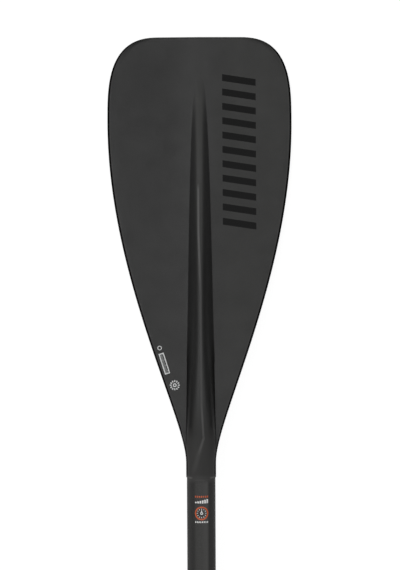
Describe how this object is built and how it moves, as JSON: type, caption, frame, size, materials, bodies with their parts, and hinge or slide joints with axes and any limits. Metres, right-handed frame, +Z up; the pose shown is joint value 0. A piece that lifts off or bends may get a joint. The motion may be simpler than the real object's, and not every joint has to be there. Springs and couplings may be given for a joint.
{
  "type": "stand-up paddleboard paddle",
  "caption": "Three-piece stand-up paddle: angled ribbed blade, round tube shaft with press-button joint, clamped sliding upper tube and T-shaped handle.",
  "frame": {"origin": "on the floor under the middle of the box round the paddle, which lies power face up on its blade tip and handle bar", "axes": "+Y along the paddle towards the blade tip, +X across the blade, +Z up out of the power face"},
  "size_m": [0.184, 1.696, 0.067],
  "materials": {
    "blade_skin": "matt dark grey moulded fibre composite",
    "shaft_composite": "satin dark grey fibre composite tube",
    "ferrule_composite": "ground fibre composite tube",
    "foam": "closed-cell foam",
    "dark_plastic": "moulded black plastic",
    "gasket_rubber": "soft rubber",
    "pad_rubber": "soft grip elastomer",
    "stainless": "bright stainless steel"
  },
  "bodies": {
    "paddle": {"blade_face_skin": "blade_skin", "blade_back_skin": "blade_skin", "blade_foam_core": "foam", "lower_shaft": "shaft_composite", "neck_plug": "dark_plastic", "joint_ferrule": "ferrule_composite", "float_plug": "foam", "joint_gasket": "gasket_rubber", "button_spring": "stainless", "middle_shaft": "shaft_composite", "clamp_collar": "dark_plastic", "cam_saddle": "stainless", "lever_pin": "stainless", "clamp_screw": "stainless"},
    "button": {"snap_button": "stainless"},
    "lever": {"clamp_lever": "dark_plastic"},
    "upper": {"upper_shaft": "shaft_composite", "upper_guide_plug": "dark_plastic", "handle_body": "dark_plastic", "handle_pad": "pad_rubber", "handle_rivet": "stainless"}
  },
  "joints": [
    {"name": "length_slide", "type": "slide", "parent": "paddle", "child": "upper", "axis": [0, -0.9996, -0.0284], "range_m": [0, 0.4]},
    {"name": "lever_swing", "type": "hinge", "parent": "paddle", "child": "lever", "pos_m": [0.01215, -0.69579, 0.04046], "axis": [0, -0.9996, -0.0284], "range_deg": [0, 115]},
    {"name": "button_press", "type": "slide", "parent": "paddle", "child": "button", "axis": [0, 0.0284, -0.9996], "range_m": [0, 0.0045], "stiffness_N_per_m": 1500, "springref_m": -0.002, "deforming": ["button_spring"]}
  ]
}
